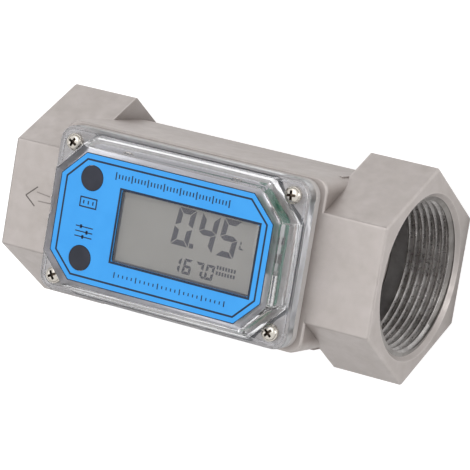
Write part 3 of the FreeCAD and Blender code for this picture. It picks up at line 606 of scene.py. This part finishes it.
def screwMesh(turn):
    # pan head and shank by one spin, less a cross recess with sloping ends
    s = screw
    bm = bmesh.new()
    tip = s["tipZ"] - s["foot"]
    shankR = s["shankR"]
    profile = [(0, tip), (shankR * s["tipShare"], tip), (shankR, tip + s["tipLong"]), (shankR, 0)]
    profile += [(s["headR"] * wide, s["headT"] * high) for wide, high in s["dome"]]
    points = [bm.verts.new((r, 0, z)) for r, z in profile]
    edges = [bm.edges.new(pair) for pair in zip(points, points[1:])]
    bmesh.ops.spin(bm, geom=points + edges, cent=(0, 0, 0), axis=(0, 0, 1), angle=math.tau,
                   steps=s["steps"], use_merge=True)
    bmesh.ops.remove_doubles(bm, verts=bm.verts, dist=s["weld"])
    bmesh.ops.recalc_face_normals(bm, faces=bm.faces)
    head = bpy.data.meshes.new("screwBlank")
    bm.to_mesh(head)
    bm.free()
    bm = bmesh.new()
    for extra in (0, math.pi / 2):
        made = bmesh.ops.create_cube(bm, size=1)["verts"]
        bmesh.ops.scale(bm, vec=(s["slotLong"], s["slotW"], s["slotDeep"] * 2), verts=made)
        for vert in made:          # the recess narrows towards its floor
            if vert.co.z < 0:
                vert.co.x *= s["floorLong"]
                vert.co.y *= s["floorWide"]
        bmesh.ops.rotate(bm, cent=(0, 0, 0), matrix=Matrix.Rotation(turn + extra, 3, "Z"), verts=made)
    bmesh.ops.translate(bm, vec=(0, 0, s["headT"]), verts=bm.verts)
    tool = bpy.data.meshes.new("recessTool")
    bm.to_mesh(tool)
    bm.free()
    head.materials.append(screwSteel)
    # the recess faces get the dark brown of painted shade
    tool.materials.append(recessShadeSteel)
    blank = bpy.data.objects.new("screwBlank", head)
    cutter = bpy.data.objects.new("recessTool", tool)
    for item in (blank, cutter):
        bpy.context.scene.collection.objects.link(item)
    cut = blank.modifiers.new("recess", "BOOLEAN")
    cut.object = cutter
    cut.operation = "DIFFERENCE"
    cut.solver = "EXACT"
    cut.use_self = True
    cut.material_mode = "TRANSFER"
    bpy.context.view_layer.update()
    made = bpy.data.meshes.new_from_object(blank.evaluated_get(bpy.context.evaluated_depsgraph_get()))
    for item in (blank, cutter):
        bpy.data.objects.remove(item)
    return made


def coverScrews():
    bm = bmesh.new()
    inX, inY = screw["inset"]
    spots = [(x, y) for x in (coverLow[0] + inX, coverHigh[0] - inX)
             for y in (coverLow[1] + inY, coverHigh[1] - inY)]
    for (x, y), turn in zip(spots, screw["turn"]):
        one = bmesh.new()
        one.from_mesh(screwMesh(turn))
        bmesh.ops.translate(one, vec=(x, y, screw["foot"]), verts=one.verts)
        pourInto(bm, one)
    finishPiece(bm, "coverScrewsCrossHead", (screwSteel, recessShadeSteel),
                replaces=("cover_screws",))


coverScrews()

flangeBead = {
    "inset": 1.0, "width": 0.8, "radius": 4.0, "steps": 8,
    "top": 62.4, "lift": 0.01, "high": 0.3, "round": 0.2, "crestTurn": 1,     # radians
}


def beadOutline(inset):
    # rounded rectangle inside the flange's edge
    radius = flangeBead["radius"]
    hx = (coverHigh[0] - coverLow[0]) / 2 - inset - radius
    hy = coverHigh[1] - inset - radius
    spots = []
    for quarter, (sx, sy) in enumerate(((1, 1), (-1, 1), (-1, -1), (1, -1))):
        for step in range(flangeBead["steps"] + 1):
            turn = (quarter + step / flangeBead["steps"]) * math.pi / 2
            spots.append((middleX + sx * hx + radius * math.cos(turn), sy * hy + radius * math.sin(turn)))
    return spots


def clearBead():
    # a raised line moulded along the flange
    b = flangeBead
    bm = bmesh.new()
    crest = b["top"] + b["high"]
    addRing(bm, beadOutline(b["inset"]), b["width"], b["top"] + b["lift"], crest)
    rims = [edge for edge in bm.edges if min(vert.co.z for vert in edge.verts) > crest - b["lift"]
            and edge.calc_face_angle(0) > b["crestTurn"]]
    bmesh.ops.bevel(bm, geom=rims, offset=b["round"], affect="EDGES", segments=2, profile=0.5, material=-1)
    bmesh.ops.recalc_face_normals(bm, faces=bm.faces)
    finishPiece(bm, "coverFlangeBead", clear)


clearBead()
print("stage: screws and bead")

# print on the label, and a painted shadow along its cut edge, drawn thicker than real ink so that they lie
# clear of the film
inkThick = 0.03
inkLow = labelHigh[2]
inkTop = inkLow + inkThick
outline = {"half": (34.35, 17.55), "cut": 6.35, "width": 0.55}
labelGapShadow = {"past": 0.2, "cut": 7.6, "width": 0.26, "lift": 0.01}     # painted shadow along the label's cut edge
windowFrame = {"glassPast": (2.9, 0.9), "halfY": 10.6, "width": 0.65}


def octagon(half, cut):
    # rectangle with cut corners about the middle of the readout
    hx, hy = half
    side = [(hx - cut, hy), (hx, hy - cut), (hx, cut - hy), (hx - cut, -hy)]
    points = side + [(-x, y) for x, y in reversed(side)]
    return [(middleX + x, y) for x, y in points]


def labelPrintAndGapShadow():
    bm = bmesh.new()
    addRing(bm, octagon(outline["half"], outline["cut"]), outline["width"], inkLow, inkTop)
    half = ((labelHigh[0] - labelLow[0]) / 2 + labelGapShadow["past"], labelHigh[1] + labelGapShadow["past"])
    # a painted shadow ring just outside the label's cut edge
    addRing(bm, octagon(half, labelGapShadow["cut"]), labelGapShadow["width"], inkLow + labelGapShadow["lift"], inkTop)
    x0 = glassLow[0] + windowFrame["glassPast"][0] - windowFrame["width"]
    x1 = glassHigh[0] - windowFrame["glassPast"][1] + windowFrame["width"]
    y = windowFrame["halfY"] + windowFrame["width"]
    addRing(bm, [(x0, -y), (x1, -y), (x1, y), (x0, y)], windowFrame["width"], inkLow, inkTop)
    bmesh.ops.recalc_face_normals(bm, faces=bm.faces)
    finishPiece(bm, "labelOutlinesAndGapShadow", navyInkAndShadow, smooth=False)


upperMarks = {
    "x": (-17.5, 21.0), "y": 14.35, "count": 36, "every": 5, "long": 2.3, "short": 1.3, "width": 0.38,
}
lowerMarks = {
    "x": (-13.0, 24.5), "y": -14.3, "count": 26, "every": 5, "long": 1.7, "short": 0.9, "width": 0.34,
}


def tickRow(row, name):
    # a plain scale: every so many marks a long one
    bm = bmesh.new()
    x0, x1 = row["x"]
    for k in range(row["count"]):
        x = middleX + x0 + (x1 - x0) * k / (row["count"] - 1)
        tall = row["long"] if k % row["every"] == 0 else row["short"]
        addBar(bm, (x, row["y"] - tall / 2), (x, row["y"] + tall / 2), row["width"], inkLow, inkTop)
    finishPiece(bm, name, navyInkAndShadow, smooth=False)


signs = {
    "x": -25.5, "screenY": 4.6, "slidersY": -4.2, "half": (3.0, 1.6), "line": 0.4, "trackLine": 0.32,
    "marks": (-1.6, 0, 1.6), "sliders": ((1.5, -1.2), (0, 1.0), (-1.5, -0.2)), "knob": (0.7, 1.1),
}


def keySigns():
    # beside the upper key a small screen, beside the lower one three sliders
    bm = bmesh.new()
    x = middleX + signs["x"]
    y = signs["screenY"]
    hx, hy = signs["half"]
    addRing(bm, ((x - hx, y - hy), (x + hx, y - hy), (x + hx, y + hy), (x - hx, y + hy)), signs["line"],
            inkLow, inkTop)
    for mark in signs["marks"]:
        addBar(bm, (x + mark, y - hy / 3), (x + mark, y + hy / 3), signs["line"], inkLow, inkTop)
    knobWide, knobTall = signs["knob"]
    for step, knob in signs["sliders"]:
        y = signs["slidersY"] + step
        addBar(bm, (x - hx, y), (x + hx, y), signs["trackLine"], inkLow, inkTop)
        addBar(bm, (x + knob, y - knobTall / 2), (x + knob, y + knobTall / 2), knobWide, inkLow, inkTop)
    bmesh.ops.recalc_face_normals(bm, faces=bm.faces)
    finishPiece(bm, "keySigns", navyInkAndShadow, smooth=False)


labelPrintAndGapShadow()
tickRow(upperMarks, "upperScaleMarks")
tickRow(lowerMarks, "lowerScaleMarks")
keySigns()

# figures on the display: seven bars with mitred ends, leaning to the right
figure = {"lean": 0.12, "gap": 0.12, "low": 0.02, "rise": 0.03}
segmentsOf = {"0": "abcdef", "1": "bc", "4": "bcfg", "5": "acdfg", "6": "acdefg", "7": "abc", "L": "def"}
bigRow = {"signs": (("0", 2.9), ("4", 10.9), ("5", 18.1)), "y": -1.3, "size": (5.9, 11.2, 1.65)}
smallRow = {"signs": (("1", 4.4), ("6", 8.1), ("7", 12.0), ("0", 15.6)), "y": -9.1, "size": (2.8, 4.6, 0.8)}
unitSign = {"signs": (("L", 25.4),), "y": 1.9, "size": (1.6, 2.6, 0.5)}
decimalPoints = ((9.2, -1.3, 1.4), (14.9, -9.1, 0.7))
unitBars = {"x": 19.4, "step": 0.95, "count": 7, "long": 0.6, "tall": 1.1, "rows": (-4.7, -6.4)}


def addFigure(bm, sign, x, y, w, h, t):
    # w wide and h high, in bars t thick with a gap of g between them
    g = figure["gap"] * t
    half = h / 2
    shapes = {
        "a": ((g, h), (w - g, h), (w - t - g, h - t), (t + g, h - t)),
        "d": ((t + g, t), (w - t - g, t), (w - g, 0), (g, 0)),
        "f": ((0, h - g), (t, h - t - g), (t, half + t / 2 + g), (0, half + g)),
        "e": ((0, half - g), (t, half - t / 2 - g), (t, t + g), (0, g)),
        "b": ((w, h - g), (w, half + g), (w - t, half + t / 2 + g), (w - t, h - t - g)),
        "c": ((w, half - g), (w, g), (w - t, t + g), (w - t, half - t / 2 - g)),
        "g": ((g, half), (t, half + t / 2), (w - t, half + t / 2), (w - g, half), (w - t, half - t / 2),
              (t, half - t / 2)),
    }
    z = glassHigh[2] + figure["low"]
    for name in segmentsOf[sign]:
        spots = [(middleX + x + a + b * figure["lean"], y + b) for a, b in shapes[name]]
        raisePlate(bm, [bm.faces.new([bm.verts.new((a, b, z)) for a, b in spots])], figure["rise"])


def displayFigures():
    bm = bmesh.new()
    low = glassHigh[2] + figure["low"]
    high = low + figure["rise"]
    for row in (bigRow, smallRow, unitSign):
        for sign, x in row["signs"]:
            addFigure(bm, sign, x, row["y"], *row["size"])
    for x, y, size in decimalPoints:
        addBar(bm, (middleX + x, y + size / 2), (middleX + x + size, y + size / 2), size, low, high)
    for y in unitBars["rows"]:
        for k in range(unitBars["count"]):
            x = middleX + unitBars["x"] + unitBars["step"] * k
            addBar(bm, (x, y), (x + unitBars["long"], y), unitBars["tall"], low, high)
    bmesh.ops.recalc_face_normals(bm, faces=bm.faces)
    finishPiece(bm, "displayFigures", segmentInk, smooth=False)


displayFigures()
print("stage: label and display")


# floor, world, lamps and camera
studio = {
    "floorMm": 3000, "paper": 0.62,
    # how bright the paper is to the camera, in metal near the object and further off, and to all else
    "glowSeen": 0.68, "glowNear": 0.2, "glowFar": 0.75, "glowElse": 0.1,
    # the dim glow round this spot is a painted shadow of the object, for metal to see
    "paintedShadowMiddle": (-10, -40, 0), "nearMm": 60, "farMm": 230,
    # the same for the sky, which metal sees dark at the horizon; the sines are of the height above it
    "skySeen": 1.0, "skyElse": 0.78, "skyHigh": 1.0, "skyLow": 0.15, "lowSine": 0.05, "highSine": 0.6,
}


def levelByRay(tree, shine, other, seen):
    # seen: to the camera, directly or through clear plastic; shine: a node's result, in reflections
    path = addNode(tree, "ShaderNodeLightPath")
    straight = addNode(tree, "ShaderNodeMath", {"operation": "MAXIMUM"},
                       {0: (path, "Is Camera Ray"), 1: (path, "Is Transmission Ray")})
    gloss = addNode(tree, "ShaderNodeMix", {2: other}, {0: (path, "Is Glossy Ray"), 3: (shine, "Result")})
    return addNode(tree, "ShaderNodeMix", {3: seen}, {0: (straight, "Value"), 2: (gloss, "Result")})


def paleFloor():
    bm = bmesh.new()
    bmesh.ops.create_grid(bm, x_segments=1, y_segments=1, size=studio["floorMm"])
    bmesh.ops.scale(bm, vec=(mm, mm, mm), verts=bm.verts)
    mesh = bpy.data.meshes.new("paleFloor")
    bm.to_mesh(mesh)
    bm.free()
    floor = bpy.data.objects.new("paleFloor", mesh)
    bpy.context.scene.collection.objects.link(floor)
    # matt white paper that also glows towards the camera, so that the backdrop is white
    material = bpy.data.materials.new("paperFloor")
    material.use_nodes = True
    tree = material.node_tree
    tree.nodes.remove(tree.nodes["Principled BSDF"])
    paper = addNode(tree, "ShaderNodeBsdfDiffuse", {"Color": (studio["paper"],) * 3 + (1,)})
    place = addNode(tree, "ShaderNodeTexCoord")
    spot = [value * mm for value in studio["paintedShadowMiddle"]]
    away = addNode(tree, "ShaderNodeVectorMath", {"operation": "DISTANCE", 1: spot}, {0: (place, "Object")})
    # painted shadow: metal sees the paper's glow dim round a spot beside the object, where its shadow falls,
    # and brighter further off
    spread = addNode(tree, "ShaderNodeMapRange",
                     {"From Min": studio["nearMm"] * mm, "From Max": studio["farMm"] * mm,
                      "To Min": studio["glowNear"], "To Max": studio["glowFar"]}, {"Value": (away, "Value")})
    level = levelByRay(tree, spread, studio["glowElse"], studio["glowSeen"])
    glow = addNode(tree, "ShaderNodeEmission", {"Color": (1, 1, 1, 1)}, {"Strength": (level, "Result")})
    both = addNode(tree, "ShaderNodeAddShader", {}, {0: (paper, "BSDF"), 1: (glow, "Emission")})
    plug(tree, both, "Shader", tree.nodes["Material Output"], "Surface")
    mesh.materials.append(material)


def whiteWorld():
    # white behind the object; metal sees a studio that darkens towards its horizon
    world = bpy.data.worlds.new("studio")
    world.use_nodes = True
    bpy.context.scene.world = world
    tree = world.node_tree
    place = addNode(tree, "ShaderNodeTexCoord")
    apart = addNode(tree, "ShaderNodeSeparateXYZ", {}, {0: (place, "Generated")})
    sky = addNode(tree, "ShaderNodeMapRange",
                  {"interpolation_type": "SMOOTHSTEP", "From Min": studio["lowSine"],
                   "From Max": studio["highSine"], "To Min": studio["skyLow"], "To Max": studio["skyHigh"]},
                  {"Value": (apart, "Z")})
    level = levelByRay(tree, sky, studio["skyElse"], studio["skySeen"])
    background = tree.nodes["Background"]
    background.inputs["Color"].default_value = (1, 1, 1, 1)
    plug(tree, level, "Result", background, "Strength")


# metres and watts
lamps = (
    {"name": "softboxAbove", "place": (-0.05, 0.45, 1.1), "size": 0.9, "watts": 3.0},
    {"name": "softboxLeft", "place": (-0.9, -0.2, 0.7), "size": 0.6, "watts": 0.4},
    {"name": "softboxRight", "place": (1.1, 0.3, 0.35), "size": 0.5, "watts": 2.2},
)
lampAim = (0, 0, 0.03)
# metres, but lens and sensor in millimetres; right and up are the edges of the picture
cameraSet = {
    "place": (0.42906, 0.14104, 0.82825), "lens": 233.6, "sensor": 36.0, "nearest": 0.02,
    "right": (0.85737861, 0.16294122, -0.48821315), "up": (-0.21754394, 0.97439427, -0.0568369),
}


def addLamps():
    for lamp in lamps:
        light = bpy.data.lights.new(lamp["name"], "AREA")
        light.shape = "SQUARE"
        light.size = lamp["size"]
        light.energy = lamp["watts"]
        item = bpy.data.objects.new(lamp["name"], light)
        item.location = lamp["place"]
        aim = Vector(lampAim) - Vector(lamp["place"])
        item.rotation_euler = aim.to_track_quat("-Z", "Y").to_euler()
        bpy.context.scene.collection.objects.link(item)


def addCamera():
    data = bpy.data.cameras.new("productCamera")
    data.lens = cameraSet["lens"]
    data.sensor_width = cameraSet["sensor"]
    data.clip_start = cameraSet["nearest"]
    item = bpy.data.objects.new("productCamera", data)
    right = Vector(cameraSet["right"]).normalized()
    back = right.cross(Vector(cameraSet["up"])).normalized()
    turn = Matrix((right, back.cross(right), back)).transposed()
    item.matrix_world = Matrix.Translation(cameraSet["place"]) @ turn.to_4x4()
    bpy.context.scene.collection.objects.link(item)
    bpy.context.scene.camera = item


paleFloor()
whiteWorld()
addLamps()
addCamera()
bpy.context.scene.view_settings.view_transform = "Standard"
print("stage: studio")
